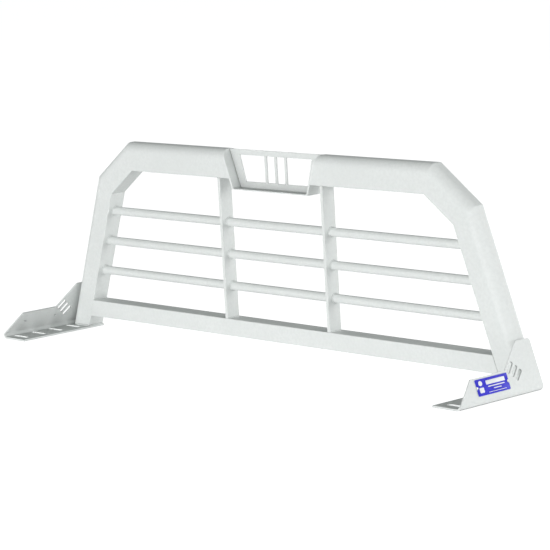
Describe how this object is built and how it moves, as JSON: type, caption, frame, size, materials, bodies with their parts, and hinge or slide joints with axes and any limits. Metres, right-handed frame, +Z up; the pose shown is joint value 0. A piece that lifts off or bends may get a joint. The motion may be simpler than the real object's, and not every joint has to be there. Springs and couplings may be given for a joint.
{
  "type": "headache rack",
  "caption": "Truck cab guard of white D-section tube with cross rods, a light window in the top rail and slotted feet for the bed rails.",
  "frame": {"origin": "midway between the two rows of clamp slots, level with the underside of the feet", "axes": "+X to the rack's right seen from the bed, +Y from the bed towards the cab, +Z up"},
  "size_m": [1.765, 0.2861, 0.5361],
  "materials": {
    "white_powder_coat": "satin powder coat",
    "nameplate_blue": "gloss blue with a white border",
    "rivet_aluminium": "bare"
  },
  "bodies": {
    "root": {"bottom_rail": "white_powder_coat", "bottom_rail_end_welds": "white_powder_coat", "left_corner_tube": "white_powder_coat", "left_foot_bracket": "white_powder_coat", "left_foot_welds": "white_powder_coat", "left_nameplate": "nameplate_blue", "left_nameplate_rivets": "rivet_aluminium", "left_post": "white_powder_coat", "left_top_rail": "white_powder_coat", "left_upright_bar": "white_powder_coat", "left_window_end_plate": "white_powder_coat", "lower_rod": "white_powder_coat", "middle_rod": "white_powder_coat", "right_corner_tube": "white_powder_coat", "right_foot_bracket": "white_powder_coat", "right_foot_welds": "white_powder_coat", "right_nameplate": "nameplate_blue", "right_nameplate_rivets": "rivet_aluminium", "right_post": "white_powder_coat", "right_top_rail": "white_powder_coat", "right_upright_bar": "white_powder_coat", "right_window_end_plate": "white_powder_coat", "rod_bar_welds": "white_powder_coat", "rod_end_welds": "white_powder_coat", "upper_rod": "white_powder_coat", "upright_bar_end_welds": "white_powder_coat", "window_back_plate": "white_powder_coat", "window_floor_plate": "white_powder_coat", "window_welds": "white_powder_coat"}
  },
  "joints": []
}
